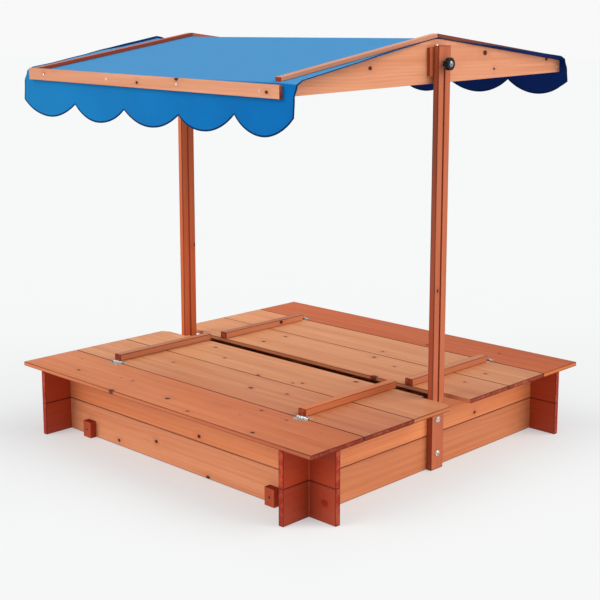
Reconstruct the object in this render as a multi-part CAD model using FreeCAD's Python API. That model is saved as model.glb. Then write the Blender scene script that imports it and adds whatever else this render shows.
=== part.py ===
import FreeCAD, Part
import math
import os

V = FreeCAD.Vector

# Sandbox with a hinged cover and a height-adjustable, tilting canopy.
# Frame: +Z up, X along the cover boards, Y from front (-) to back (+).
# Origin: on the ground, at the middle of the box.  Millimetres.

# ---------------------------------------------------------------- driving dimensions
# Box walls: two courses of cross-lapped boards
WALL_X = 508.0            # outer face of the side walls
WALL_Y = 489.0            # outer face of the front and back walls
WALL_T = 16.0
COURSE_H = 96.0
COURSES = ("lower", "upper")
STUB = 89.5               # how far a board runs on past the crossing
LAP_W = WALL_T + 1.0      # width of the cross-lap slot

# Cover: seat boards are fixed, lids hinge beside them
COVER_X = 600.0
COVER_Y = 578.0
COVER_T = 12.0
COVER_Z = len(COURSES) * COURSE_H
COVER_TOP = COVER_Z + COVER_T
LID_GAP = 0.4             # air under a closed lid
SEAM = 2.0                # gap between seat board and lid
BOARD_SEAM = 1.5          # gap between two lid boards
BATTEN_W = 26.0
BATTEN_H = 20.0
BATTEN_SETBACK = 13.0     # from the hinge line to the batten's end
POST_NOTCH_X = 491.0      # the inner lid boards are notched from here outwards

# Per side: hinge line, board seam, lid edge, edge in the notch, batten centres, batten's free end
LIDS = {
    "front": dict(hinge=388.5, seam=197.2, edge=20.0, notch=34.0, battens=(-406.0, 373.0), tip=12.0),
    "back": dict(hinge=401.5, seam=225.2, edge=31.0, notch=45.5, battens=(-382.0, 394.5), tip=32.0),
}

# Butt hinges
HINGE_X = 388.0
HINGE_W = 40.0
HINGE_LEAF = 19.0
HINGE_T = 1.5
HINGE_AXIS_Z = COVER_TOP + 3.2
KNUCKLE_R = 2.8
PIN_R = 1.4
PIN_PLAY = 0.05

# Foot blocks and inner cleats
BLOCK = (35.0, 20.0, 48.0)
CLEAT = (24.0, 24.0, 165.0)
BLOCK_X = 387.0

# Posts
POST_W = 51.0
POST_T = 17.0
POST_TOP = 1151.0
SLOT_W = 7.0
SLOT_BOTTOM = 175.0
POST_BOLT_Z = (45.0, 141.0)

# Roof, drawn level and then tilted about the clamp axis
AXIS_Z = 1104.0
REST_TILT = 1.7           # degrees, front edge down
ROOF_SET_BACK = 3.5       # the ridge lies this far behind the clamp axis
GABLE_X = 497.5           # outer face
GABLE_T = 16.0
GABLE_Y = 583.5
GABLE_BOTTOM = AXIS_Z - 51.0
GABLE_END_H = 34.0
APEX_Z = 1169.5
PEAK_R = 200.0
SPACER = (10.0, 77.0, 74.0)
SPACER_Z = 1073.0
RAIL_T = 18.0
RAIL_H = 32.0
FASCIA_T = 10.0
FASCIA_H = 32.0
FASCIA_X = 503.0
FASCIA_SHIFT = {"front": 8.0, "back": 0.0}
FRONT_FASCIA_LEAN = 1.0   # degrees; the front fascia is screwed on a little higher at its left end
FRONT_FASCIA_LIFT = 3.0
SLOPE_BATTEN_W = 20.0
SLOPE_BATTEN_T = 10.0

# Canopy cloth
CLOTH_T = 1.5
CLOTH_GAP = 0.3
SCALLOPS = 5
SCALLOP_PITCH = 214.0
SCALLOP_DEPTH = 40.0
SCALLOP_SHIFT = {"front": 30.0, "back": -14.0}   # the sheet lies a little askew on its frame
CLOTH_EDGES = {"front": (-529.0, 553.0), "back": (-542.0, 518.0)}   # its side edges at the eaves
VALANCE_FLARE = 8.0
VALANCE_DROP = {"front": 124.0, "back": 102.0}   # eave to scallop bottom
RIDGE_HALF = 500.0        # half width where the cloth passes between the posts
RIDGE_ZONE = 60.0         # the narrow part reaches this far from the ridge

# Clamp bolts, knobs and fasteners
BOLT_R = 3.0
BORE_PLAY = 0.05
KNOB_R = 17.0
KNOB_LOBES = 8
KNOB_T = 13.0
KNOB_BOSS_R = 8.0
KNOB_BOSS_H = 7.0
KNOB_OFF_POST = 2.2       # room for the washer
KNOB_CAP_R = 8.2
KNOB_CAP_SEAT = 2.0       # how deep the cap sits in the grip
BOLT_TIP_SHORT = 1.0      # the clamp bolt stops this far under the cap
SCREW_R = 1.8
HEAD_R = 3.6
HEAD_H = 1.6

EDGE_R = 1.6              # eased edge of the planed boards
SMALL_EDGE_R = 1.0

# Screw places
SLOPE_SCREWS_AT = (14.0, 300.0, 560.0)
FASCIA_SCREWS_X = (-424.0, -138.0, 148.0, 446.0)
RAIL_SCREWS_YZ = ((-571.0, 1069.0), (571.0, 1069.0), (0.0, 1150.0))
SPACER_SCREW_Y = 31.5

# Worked out from the above
EAVE_Z = GABLE_BOTTOM + GABLE_END_H
SLOPE = math.atan2(APEX_Z - EAVE_Z, GABLE_Y)
CLOTH_REACH = COVER_X     # half width of the cloth before its outline is cut
CLOTH_OUT = GABLE_Y + 2 * CLOTH_GAP + CLOTH_T
FASCIA_TOP = EAVE_Z + 2.0
RAIL_X = GABLE_X - GABLE_T
SIDES = {"left": -1, "right": 1}
ENDS = {"front": -1, "back": 1}
X_DIR, Y_DIR, Z_DIR = V(1, 0, 0), V(0, 1, 0), V(0, 0, 1)

parts = {}


# ---------------------------------------------------------------- helpers
def span(a, b):
    return min(a, b), abs(b - a)


def block(x, y, z):
    """Sharp box from three (from, to) pairs."""
    (x0, lx), (y0, ly), (z0, lz) = span(*x), span(*y), span(*z)
    return Part.makeBox(lx, ly, lz, V(x0, y0, z0))


def board(x, y, z, radius=EDGE_R):
    """Box with its long edges eased, as a planed board."""
    solid = block(x, y, z)
    longest = max(edge.Length for edge in solid.Edges)
    return solid.makeFillet(radius, [e for e in solid.Edges if abs(e.Length - longest) < 1e-6])


def rod(radius, start, length, direction):
    return Part.makeCylinder(radius, length, start, direction)


def dome(radius, height, base, direction):
    """Cap of a sphere on a round base."""
    sphere_r = (radius * radius + height * height) / (2.0 * height)
    centre = base - direction * (sphere_r - height)
    return Part.makeSphere(sphere_r, centre).common(rod(radius, base, height, direction))


def hex_nut(base, direction, across, height, bore_r):
    side_dir = Z_DIR if abs(direction.z) < 0.5 else X_DIR
    corners = []
    for i in range(7):
        spin = FreeCAD.Rotation(direction, 60.0 * i)
        corners.append(base + spin.multVec(side_dir) * (across / math.sqrt(3.0)))
    prism = Part.Face(Part.makePolygon(corners)).extrude(direction * height)
    return prism.cut(rod(bore_r, base - direction, height + 2, direction))


def washer(base, direction, outer_r, bore_r, height):
    return rod(outer_r, base, height, direction).cut(rod(bore_r, base - direction, height + 2, direction))


def screw(head_base, direction, length):
    """Dome-headed wood screw: direction points into the wood."""
    head = dome(HEAD_R, HEAD_H, head_base, direction * -1)
    shank = rod(SCREW_R, head_base, length, direction)
    return head.fuse(shank).removeSplitter()


def group(solids):
    return Part.makeCompound(solids)


def drilled(shape, tools):
    for tool in tools:
        shape = shape.cut(tool)
    return shape


def set_back(shape):
    moved = shape.copy()
    moved.translate(Y_DIR * ROOF_SET_BACK)
    return moved


def roof_tilted(shape):
    tilted = shape.copy()
    tilted.rotate(V(0, 0, AXIS_Z), X_DIR, REST_TILT)
    return tilted


# ---------------------------------------------------------------- fasteners
# They are placed first, so that the wood is drilled to fit them.
def post_fasteners(side):
    """Coach bolts with outer washers, inner washers and nuts, through post and wall."""
    out = X_DIR * side
    bolts, washers, nuts = [], [], []
    outer = side * (WALL_X + POST_T)
    inner = side * (WALL_X - WALL_T)
    for z in POST_BOLT_Z:
        face = V(outer, 0, z)
        washers.append(washer(face, out, 8.5, BOLT_R, 1.4))
        head_base = face + out * 1.4
        head = dome(6.2, 3.4, head_base, out)
        shank = rod(BOLT_R, head_base, POST_T + WALL_T + 10.0, out * -1)
        bolts.append(head.fuse(shank).removeSplitter())
        back = V(inner, 0, z)
        washers.append(washer(back, out * -1, 8.5, BOLT_R, 1.4))
        nuts.append(hex_nut(back - out * 1.4, out * -1, 10.0, 5.0, BOLT_R))
    return bolts, washers, nuts


post_bolts, post_washers, post_nuts = [], [], []
for side in SIDES.values():
    for store, made in zip((post_bolts, post_washers, post_nuts), post_fasteners(side)):
        store.extend(made)

block_screws, cleat_screws, seat_screws = [], [], []
for end in ENDS.values():
    for side in SIDES.values():
        x = side * BLOCK_X
        block_face = V(x, end * (WALL_Y + BLOCK[1]), BLOCK[2] / 2.0)
        block_screws.append(screw(block_face, Y_DIR * -end, BLOCK[1] + 12.0))
        cleat_face = WALL_Y - WALL_T - CLEAT[1]
        for z in (32.0, 150.0):
            cleat_screws.append(screw(V(x, end * cleat_face, z), Y_DIR * end, CLEAT[1] + 10.0))
        seat_screws.append(screw(V(side * 250.0, end * (WALL_Y - WALL_T / 2), COVER_TOP), Z_DIR * -1, 40.0))
        seat_screws.append(screw(V(side * (WALL_X - WALL_T / 2), end * 440.0, COVER_TOP), Z_DIR * -1, 40.0))


# ---------------------------------------------------------------- box
def long_wall(end, course):
    """Front or back board: runs along X, slotted from its top edge."""
    z0 = course * COURSE_H
    half = WALL_X + STUB
    wall = board((-half, half), (end * (WALL_Y - WALL_T), end * WALL_Y), (z0, z0 + COURSE_H))
    for side in SIDES.values():
        mid = side * (WALL_X - WALL_T / 2)
        wall = wall.cut(block((mid - LAP_W / 2, mid + LAP_W / 2), (end * (WALL_Y - 40), end * (WALL_Y + 20)),
                              (z0 + COURSE_H / 2, z0 + COURSE_H + 1)))
    return drilled(wall, block_screws + cleat_screws + seat_screws)


def side_wall(side, course):
    """Left or right board: runs along Y, slotted from its bottom edge."""
    z0 = course * COURSE_H
    half = WALL_Y + STUB
    wall = board((side * (WALL_X - WALL_T), side * WALL_X), (-half, half), (z0, z0 + COURSE_H))
    for end in ENDS.values():
        mid = end * (WALL_Y - WALL_T / 2)
        slot = block((side * (WALL_X - 40), side * (WALL_X + 20)), (mid - LAP_W / 2, mid + LAP_W / 2),
                     (z0 - 1, z0 + COURSE_H / 2))
        wall = wall.cut(slot)
    return drilled(wall, post_bolts + seat_screws)


for course, level in enumerate(COURSES):
    for name, end in ENDS.items():
        parts["%s_%s_wall" % (name, level)] = long_wall(end, course)
    for name, side in SIDES.items():
        parts["%s_%s_wall" % (name, level)] = side_wall(side, course)


def foot_block(side, end):
    lx, ly, lz = BLOCK
    x = side * BLOCK_X
    return board((x - lx / 2, x + lx / 2), (end * WALL_Y, end * (WALL_Y + ly)), (0, lz), SMALL_EDGE_R)


def cleat(side, end):
    lx, ly, lz = CLEAT
    x = side * BLOCK_X
    inner = end * (WALL_Y - WALL_T)
    z0 = (COVER_Z - lz) / 2.0
    return board((x - lx / 2, x + lx / 2), (inner - end * ly, inner), (z0, z0 + lz), SMALL_EDGE_R)


for name, end in ENDS.items():
    blocks = [drilled(foot_block(side, end), block_screws) for side in SIDES.values()]
    parts["%s_foot_blocks" % name] = group(blocks)
parts["wall_cleats"] = group([drilled(cleat(side, end), cleat_screws)
                              for end in ENDS.values() for side in SIDES.values()])
parts["wall_screws"] = group(block_screws + cleat_screws)
parts["seat_board_screws"] = group(seat_screws)


# ---------------------------------------------------------------- posts
def post(side):
    """Slotted board on the outside of the side wall; the clamp bolt slides in the slot."""
    inner, outer = side * WALL_X, side * (WALL_X + POST_T)
    wood = board((inner, outer), (-POST_W / 2, POST_W / 2), (0, POST_TOP))
    slot_top = AXIS_Z + 0.5
    low, high = SLOT_BOTTOM + SLOT_W / 2, slot_top
    start = min(inner, outer) - 5
    depth = POST_T + 10
    slot = block((start, start + depth), (-SLOT_W / 2, SLOT_W / 2), (low, high))
    for z in (low, high):
        slot = slot.fuse(rod(SLOT_W / 2, V(start, 0, z), depth, X_DIR))
    return drilled(wood.cut(slot.removeSplitter()), post_bolts)


for name, side in SIDES.items():
    parts["%s_post" % name] = post(side)
parts["post_bolts"] = group(post_bolts)
parts["post_washers"] = group(post_washers)
parts["post_nuts"] = group(post_nuts)


# ---------------------------------------------------------------- hinges
def hinge_line(end):
    return end * LIDS["front" if end < 0 else "back"]["hinge"]


def hinge_plate(x, end, outward):
    """One leaf with its knuckles; outward leaves lie on the seat board, the others on the lid."""
    line = hinge_line(end)
    way = end if outward else -end
    top = COVER_TOP
    plate = block((x - HINGE_W / 2, x + HINGE_W / 2), (line + way * 1.2, line + way * HINGE_LEAF),
                  (top, top + HINGE_T))
    third = HINGE_W / 3.0
    x0 = x - HINGE_W / 2
    pieces = (0, 2) if outward else (1,)
    play = 0.3
    for i in pieces:
        a, b = x0 + i * third + play, x0 + (i + 1) * third - play
        barrel = rod(KNUCKLE_R, V(a, line, HINGE_AXIS_Z), b - a, X_DIR)
        web = block((a, b), (line, line + way * 3.0), (top, top + HINGE_T))
        plate = plate.fuse(barrel).fuse(web)
    others = [i for i in range(3) if i not in pieces]
    for i in others:
        a, b = x0 + i * third - play, x0 + (i + 1) * third + play
        plate = plate.cut(rod(KNUCKLE_R + 0.4, V(a, line, HINGE_AXIS_Z), b - a, X_DIR))
    bore = rod(PIN_R + PIN_PLAY, V(x0 - 5, line, HINGE_AXIS_Z), HINGE_W + 10, X_DIR)
    return plate.cut(bore).removeSplitter()


def hinge_pin(x, end):
    line = hinge_line(end)
    start = V(x - HINGE_W / 2, line, HINGE_AXIS_Z)
    pin = rod(PIN_R, start, HINGE_W, X_DIR)
    for at, way in ((start, -1), (start + X_DIR * HINGE_W, 1)):
        pin = pin.fuse(dome(2.4, 1.0, at, X_DIR * way))
    return pin.removeSplitter()


def hinge_screws(x, end, outward):
    line = hinge_line(end)
    way = end if outward else -end
    y = line + way * (HINGE_LEAF * 0.6)
    top = COVER_TOP + HINGE_T
    return [screw(V(x + dx, y, top), Z_DIR * -1, 9.0) for dx in (-13.0, 13.0)]


# ---------------------------------------------------------------- cover
def seat_board(end):
    inner_edge = hinge_line(end) + end * SEAM / 2
    return board((-COVER_X, COVER_X), (inner_edge, end * COVER_Y), (COVER_Z, COVER_TOP))


def lid_boards(end, spec):
    low = COVER_Z + LID_GAP
    half_seam = BOARD_SEAM / 2
    outer = board((-COVER_X, COVER_X), (end * (spec["hinge"] - SEAM / 2), end * (spec["seam"] + half_seam)),
                  (low, COVER_TOP))
    inner = board((-COVER_X, COVER_X), (end * (spec["seam"] - half_seam), end * spec["edge"]),
                  (low, COVER_TOP))
    for side in SIDES.values():
        inner = inner.cut(post_notch(side, end, spec))
    return outer, inner


def post_notch(side, end, spec):
    """Step in the lid's free edge that lets the post through, with the outer corner sawn off."""
    edge, notch = spec["edge"], spec["notch"]
    past = COVER_X + 5
    corner = notch + 12.0
    outline = [(POST_NOTCH_X, edge - 5), (POST_NOTCH_X, notch), (COVER_X - 26, notch), (COVER_X, corner),
               (past, corner), (past, edge - 5)]
    if end > 0:
        outline = [(POST_NOTCH_X, edge - 5), (POST_NOTCH_X, notch), (past, notch), (past, edge - 5)]
    points = [V(side * x, end * y, COVER_Z - 5) for x, y in outline + outline[:1]]
    return Part.Face(Part.makePolygon(points)).extrude(Z_DIR * (COVER_T + 10))


def batten(x, end, spec, hinge_leaves):
    near, tip = spec["hinge"] - BATTEN_SETBACK, spec["tip"]
    wood = board((x - BATTEN_W / 2, x + BATTEN_W / 2), (end * near, end * tip),
                 (COVER_TOP, COVER_TOP + BATTEN_H))
    return drilled(wood, hinge_leaves)


def batten_screws(x, end, spec):
    """Driven from below, through the lid boards into the batten."""
    low = COVER_Z + LID_GAP
    span_y = spec["hinge"] - spec["edge"]
    places = [spec["edge"] + span_y * share for share in (0.1, 0.4, 0.6, 0.88)]
    return [rod(SCREW_R, V(x, end * y, low), COVER_T + 12.0, Z_DIR) for y in places]


fixed_leaves, pins, seat_hinge_screws = [], [], []
for name, end in ENDS.items():
    spec = LIDS[name]
    hinges = [side * HINGE_X for side in SIDES.values()]
    fixed = [hinge_plate(x, end, True) for x in hinges]
    moving = [hinge_plate(x, end, False) for x in hinges]
    fixed_screws = [s for x in hinges for s in hinge_screws(x, end, True)]
    moving_screws = [s for x in hinges for s in hinge_screws(x, end, False)]
    lid_screws = [s for x in spec["battens"] for s in batten_screws(x, end, spec)]

    parts["%s_seat_board" % name] = drilled(seat_board(end), seat_screws + fixed_screws)
    parts["%s_lid_hinge_leaves" % name] = group([drilled(h, moving_screws) for h in moving])
    parts["%s_lid_hinge_screws" % name] = group(moving_screws)
    fixed_leaves += [drilled(h, fixed_screws) for h in fixed]
    pins += [hinge_pin(x, end) for x in hinges]
    seat_hinge_screws += fixed_screws

    outer, inner = lid_boards(end, spec)
    parts["%s_lid_outer_board" % name] = drilled(outer, moving_screws + lid_screws)
    parts["%s_lid_inner_board" % name] = drilled(inner, lid_screws)
    for place, x in zip(SIDES, spec["battens"]):
        rebates = moving + moving_screws + lid_screws
        parts["%s_lid_%s_batten" % (name, place)] = batten(x, end, spec, rebates)
    parts["%s_lid_screws" % name] = group(lid_screws)
parts["seat_hinge_leaves"] = group(fixed_leaves)
parts["hinge_pins"] = group(pins)
parts["seat_hinge_screws"] = group(seat_hinge_screws)


# ---------------------------------------------------------------- roof
def roof_edges(offset):
    """The two slopes and the rounded peak, as edges in the YZ plane, offset outwards."""
    normal_y, normal_z = math.sin(SLOPE), math.cos(SLOPE)
    centre_z = APEX_Z - PEAK_R / math.cos(SLOPE)
    radius = PEAK_R + offset
    tangent = V(0, normal_y * radius, centre_z + normal_z * radius)
    eave_y = GABLE_Y + offset
    eave_z = tangent.z - (eave_y - tangent.y) * math.tan(SLOPE)
    left_tangent, left_eave = V(0, -tangent.y, tangent.z), V(0, -eave_y, eave_z)
    top = V(0, 0, centre_z + radius)
    return [Part.makeLine(left_eave, left_tangent),
            Part.Arc(left_tangent, top, tangent).toShape(),
            Part.makeLine(tangent, V(0, eave_y, eave_z))]


def gable(side):
    slopes = roof_edges(0.0)
    front, back = slopes[0].Vertexes[0].Point, slopes[-1].Vertexes[1].Point
    low_front, low_back = V(0, front.y, GABLE_BOTTOM), V(0, back.y, GABLE_BOTTOM)
    outline = Part.Wire(slopes + [Part.makeLine(back, low_back), Part.makeLine(low_back, low_front),
                                  Part.makeLine(low_front, front)])
    wood = Part.Face(outline).extrude(X_DIR * GABLE_T)
    wood.translate(V(GABLE_X - GABLE_T if side > 0 else -GABLE_X, 0, 0))
    wood = wood.makeFillet(SMALL_EDGE_R, [e for e in wood.Edges
                                          if e.Length > 900 and abs(e.CenterOfMass.z - GABLE_BOTTOM) < 0.1])
    return wood


def spacer(side):
    depth, width, height = SPACER
    wood = board((side * GABLE_X, side * (GABLE_X + depth)), (-width / 2, width / 2),
                 (SPACER_Z, SPACER_Z + height), SMALL_EDGE_R)
    return wood


def clamp_bore(side):
    return rod(BOLT_R + BORE_PLAY, V(side * (GABLE_X - GABLE_T - 5), 0, AXIS_Z), GABLE_T + SPACER[0] + 10,
               X_DIR * side)


def slope_batten(side, end):
    """Strip that pinches the cloth down on one gable slope."""
    x = side * (GABLE_X - GABLE_T / 2)
    run = (GABLE_Y - 8.0) / math.cos(SLOPE)
    lift = CLOTH_GAP * 2 + CLOTH_T
    strip = board((x - SLOPE_BATTEN_W / 2, x + SLOPE_BATTEN_W / 2), (0, end * run),
                  (lift, lift + SLOPE_BATTEN_T), SMALL_EDGE_R)
    strip.rotate(V(0, 0, 0), X_DIR, -end * math.degrees(SLOPE))
    strip.translate(V(0, 0, APEX_Z))
    past_ridge = block((x - 40, x + 40), (-end * 60, end * 0.2), (APEX_Z - 60, APEX_Z + 60))
    return strip.cut(past_ridge)


def slope_screw(side, end, along):
    """Screw through a slope batten, square to the slope."""
    x = side * (GABLE_X - GABLE_T / 2)
    lift = CLOTH_GAP * 2 + CLOTH_T + SLOPE_BATTEN_T
    made = screw(V(x, end * along, lift), Z_DIR * -1, 32.0)
    made.rotate(V(0, 0, 0), X_DIR, -end * math.degrees(SLOPE))
    made.translate(V(0, 0, APEX_Z))
    return made


def cloth_profile():
    """Closed strip in the YZ plane: slopes, peak and both valances."""
    faces = []
    for offset in (CLOTH_GAP, CLOTH_GAP + CLOTH_T):
        slopes = roof_edges(offset)
        front, back = slopes[0].Vertexes[0].Point, slopes[-1].Vertexes[1].Point
        legs = []
        for name, eave in (("front", front), ("back", back)):
            end = ENDS[name]
            knee = V(0, eave.y, GABLE_BOTTOM - 6.0)
            hem = V(0, eave.y + end * VALANCE_FLARE, EAVE_Z - VALANCE_DROP[name])
            legs.append((eave, knee, hem))
        faces.append((slopes, legs))
    (in_slopes, in_legs), (out_slopes, out_legs) = faces
    edges = list(in_slopes) + list(out_slopes)
    for inner_leg, outer_leg in zip(in_legs, out_legs):
        for leg in (inner_leg, outer_leg):
            edges.append(Part.makeLine(leg[0], leg[1]))
            edges.append(Part.makeLine(leg[1], leg[2]))
        edges.append(Part.makeLine(inner_leg[2], outer_leg[2]))
    return Part.Face(Part.Wire(Part.__sortEdges__(edges)))


def scallop_cutter(name):
    """What is cut away below the scalloped hem of one valance."""
    end = ENDS[name]
    hem = EAVE_Z - VALANCE_DROP[name]
    high, low = hem + SCALLOP_DEPTH, hem - 60.0
    y0 = end * (GABLE_Y - 20)
    left, right = CLOTH_EDGES[name]
    cusps = [SCALLOP_SHIFT[name] + (i - SCALLOPS / 2.0) * SCALLOP_PITCH for i in range(1, SCALLOPS)]
    corners = [left] + cusps + [right]
    edges = []
    for x0, x1 in zip(corners, corners[1:]):
        edges.append(Part.Arc(V(x0, y0, high), V((x0 + x1) / 2, y0, hem), V(x1, y0, high)).toShape())
    margin = 80.0
    around = [V(left, y0, high), V(left - margin, y0, high), V(left - margin, y0, low),
              V(right + margin, y0, low), V(right + margin, y0, high), V(right, y0, high)]
    for a, b in zip(around, around[1:]):
        edges.append(Part.makeLine(a, b))
    return Part.Face(Part.Wire(Part.__sortEdges__(edges))).extrude(Y_DIR * end * 60)


def cloth_outline():
    """The sheet seen from above: narrow at the ridge, where it passes between the posts."""
    eave, past = GABLE_Y - 15.0, GABLE_Y + 60.0
    (front_left, front_right), (back_left, back_right) = CLOTH_EDGES["front"], CLOTH_EDGES["back"]
    outline = [(front_left, -past), (front_left, -eave), (-RIDGE_HALF, -RIDGE_ZONE),
               (-RIDGE_HALF, RIDGE_ZONE), (back_left, eave), (back_left, past),
               (back_right, past), (back_right, eave), (RIDGE_HALF, RIDGE_ZONE),
               (RIDGE_HALF, -RIDGE_ZONE), (front_right, -eave), (front_right, -past)]
    low = EAVE_Z - max(VALANCE_DROP.values()) - 50.0
    points = [V(x, y, low) for x, y in outline + outline[:1]]
    return Part.Face(Part.makePolygon(points)).extrude(Z_DIR * (APEX_Z + 50.0 - low))


def canopy():
    cloth = cloth_profile().extrude(X_DIR * (2 * CLOTH_REACH))
    cloth.translate(X_DIR * -CLOTH_REACH)
    return drilled(cloth.common(cloth_outline()), [scallop_cutter(name) for name in ENDS])


def eave_rail(end):
    """Rail between the gables, under the edge of the cloth."""
    low = GABLE_BOTTOM + 1.0
    depth = (end * (GABLE_Y - RAIL_T), end * GABLE_Y)
    return board((-RAIL_X, RAIL_X), depth, (low, low + RAIL_H), SMALL_EDGE_R)


def ridge_rail():
    high = APEX_Z - 3.0
    return board((-RAIL_X, RAIL_X), (-RAIL_T / 2, RAIL_T / 2), (high - RAIL_H, high), SMALL_EDGE_R)


def as_hung(shape, end):
    """The front fascia leans a little in its own plane; the back one is level."""
    hung = shape.copy()
    if end < 0:
        hung.rotate(V(0, 0, FASCIA_TOP - FASCIA_H / 2), Y_DIR, FRONT_FASCIA_LEAN)
        hung.translate(Z_DIR * FRONT_FASCIA_LIFT)
    return hung


def fascia(name):
    """Board screwed on over the cloth at the eave."""
    end, shift = ENDS[name], FASCIA_SHIFT[name]
    wood = board((shift - FASCIA_X, shift + FASCIA_X), (end * CLOTH_OUT, end * (CLOTH_OUT + FASCIA_T)),
                 (FASCIA_TOP - FASCIA_H, FASCIA_TOP), SMALL_EDGE_R)
    return as_hung(wood, end)


def fascia_screw(end, x):
    head = V(x, end * (CLOTH_OUT + FASCIA_T), FASCIA_TOP - FASCIA_H / 2)
    return as_hung(screw(head, Y_DIR * -end, FASCIA_T + 14.0), end)


slope_screws = [set_back(slope_screw(side, end, along)) for side in SIDES.values() for end in ENDS.values()
                for along in SLOPE_SCREWS_AT]
fascia_screws = [set_back(fascia_screw(end, x)) for end in ENDS.values() for x in FASCIA_SCREWS_X]
rail_screws, spacer_screws = [], []
for side in SIDES.values():
    for y, z in RAIL_SCREWS_YZ:
        rail_screws.append(set_back(screw(V(side * GABLE_X, y, z), X_DIR * -side, 40.0)))
    for y in (-SPACER_SCREW_Y, SPACER_SCREW_Y):
        spacer_screws.append(screw(V(side * RAIL_X, y, SPACER_Z + SPACER[2] / 2), X_DIR * side, 24.0))

roof = {}
for name, side in SIDES.items():
    bores = [clamp_bore(side)]
    holes = bores + slope_screws + rail_screws + spacer_screws
    roof["%s_gable" % name] = drilled(set_back(gable(side)), holes)
    roof["%s_spacer" % name] = drilled(spacer(side), bores + spacer_screws)
    for place, end in ENDS.items():
        roof["%s_%s_slope_batten" % (name, place)] = drilled(set_back(slope_batten(side, end)), slope_screws)
for name, end in ENDS.items():
    roof["%s_eave_rail" % name] = drilled(set_back(eave_rail(end)), fascia_screws + rail_screws)
    roof["%s_fascia" % name] = drilled(set_back(fascia(name)), fascia_screws)
roof["ridge_rail"] = drilled(set_back(ridge_rail()), rail_screws)
roof["canopy"] = drilled(set_back(canopy()), slope_screws + fascia_screws)
roof["roof_screws"] = group(slope_screws + fascia_screws)
roof["frame_screws"] = group(rail_screws + spacer_screws)
for node, shape in roof.items():
    parts[node] = roof_tilted(shape)


# ---------------------------------------------------------------- clamps and knobs
def knob_base(side):
    return side * (WALL_X + POST_T + KNOB_OFF_POST)


def clamp_bolt(side):
    """Bolt from inside the gable out through spacer and slot to the knob."""
    out = X_DIR * side
    inner = V(side * (GABLE_X - GABLE_T - 0.4), 0, AXIS_Z)
    tip_x = abs(knob_base(side)) + KNOB_BOSS_H + KNOB_T - KNOB_CAP_SEAT - BOLT_TIP_SHORT
    head = rod(10.0, inner, 1.4, out * -1).fuse(dome(7.0, 4.0, inner - out * 1.4, out * -1))
    return head.fuse(rod(BOLT_R, inner, tip_x - abs(inner.x), out)).removeSplitter()


def knob_grip(side):
    """Lobed grip on a short boss."""
    out = X_DIR * side
    base = V(knob_base(side), 0, AXIS_Z)
    boss = rod(KNOB_BOSS_R, base, KNOB_BOSS_H + 1, out)
    head_base = base + out * KNOB_BOSS_H
    head = rod(KNOB_R, head_base, KNOB_T, out)
    rim = [e for e in head.Edges if e.Length > 2 * math.pi * KNOB_R - 1 and e.Closed]
    head = head.makeFillet(3.0, rim)
    for i in range(KNOB_LOBES):
        angle = 2 * math.pi * i / KNOB_LOBES
        centre = head_base + V(0, math.cos(angle), math.sin(angle)) * (KNOB_R + 3.2)
        head = head.cut(rod(5.2, centre - out, KNOB_T + 2, out))
    cap_seat = head_base + out * (KNOB_T - KNOB_CAP_SEAT)
    grip = boss.fuse(head).cut(rod(KNOB_CAP_R, cap_seat, 5.0, out))
    return grip.cut(rod(BOLT_R + BORE_PLAY, base - out, KNOB_BOSS_H + KNOB_T, out)).removeSplitter()


def knob_cap(side):
    """Domed metal cap in the middle of the grip."""
    out = X_DIR * side
    seat = V(knob_base(side), 0, AXIS_Z) + out * (KNOB_BOSS_H + KNOB_T - KNOB_CAP_SEAT)
    return rod(KNOB_CAP_R, seat, 2.0, out).fuse(dome(KNOB_CAP_R, 3.0, seat + out * 2.0, out)).removeSplitter()


parts["clamp_bolts"] = group([clamp_bolt(side) for side in SIDES.values()])
parts["clamp_washers"] = group([washer(V(side * (WALL_X + POST_T + 0.4), 0, AXIS_Z), X_DIR * side, 11.0,
                                       BOLT_R, 1.4) for side in SIDES.values()])
for name, side in SIDES.items():
    parts["%s_knob" % name] = knob_grip(side)
    parts["%s_knob_cap" % name] = knob_cap(side)

os.makedirs("parts", exist_ok=True)
for node, shape in parts.items():
    if not shape.isValid():
        print("INVALID", node)
    shape.exportStep("parts/%s.step" % node)
print(len(parts), "nodes")
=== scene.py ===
import math
import random

import bmesh
import bpy
from mathutils import Matrix, Vector


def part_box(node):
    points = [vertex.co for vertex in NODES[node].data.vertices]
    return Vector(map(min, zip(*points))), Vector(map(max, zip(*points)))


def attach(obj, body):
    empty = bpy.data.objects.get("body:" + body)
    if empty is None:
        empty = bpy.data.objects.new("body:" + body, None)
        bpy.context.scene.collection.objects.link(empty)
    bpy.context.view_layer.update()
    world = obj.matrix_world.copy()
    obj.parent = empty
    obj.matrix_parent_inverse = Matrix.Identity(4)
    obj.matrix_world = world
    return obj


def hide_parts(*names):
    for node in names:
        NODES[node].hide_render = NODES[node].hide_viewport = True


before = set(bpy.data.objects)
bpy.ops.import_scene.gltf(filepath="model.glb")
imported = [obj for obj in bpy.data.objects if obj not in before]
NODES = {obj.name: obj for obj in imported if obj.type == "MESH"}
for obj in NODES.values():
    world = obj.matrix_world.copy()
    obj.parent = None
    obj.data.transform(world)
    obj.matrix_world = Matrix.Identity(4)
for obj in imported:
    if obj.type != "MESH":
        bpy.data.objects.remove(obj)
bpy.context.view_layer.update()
MM = 0.001

# ---------------------------------------------------------------- camera
# Metres and degrees. The lens is in millimetres and the shift in frame widths.
CAMERA_AT = (2.4981, -2.548, 1.1837)
CAMERA_YAW = 43.449        # to the left of looking along +Y
CAMERA_PITCH = 9.765       # down
CAMERA_ROLL = 0.155
CAMERA_LENS = 73.18
CAMERA_SHIFT = (-0.0356, -0.0961)


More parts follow.
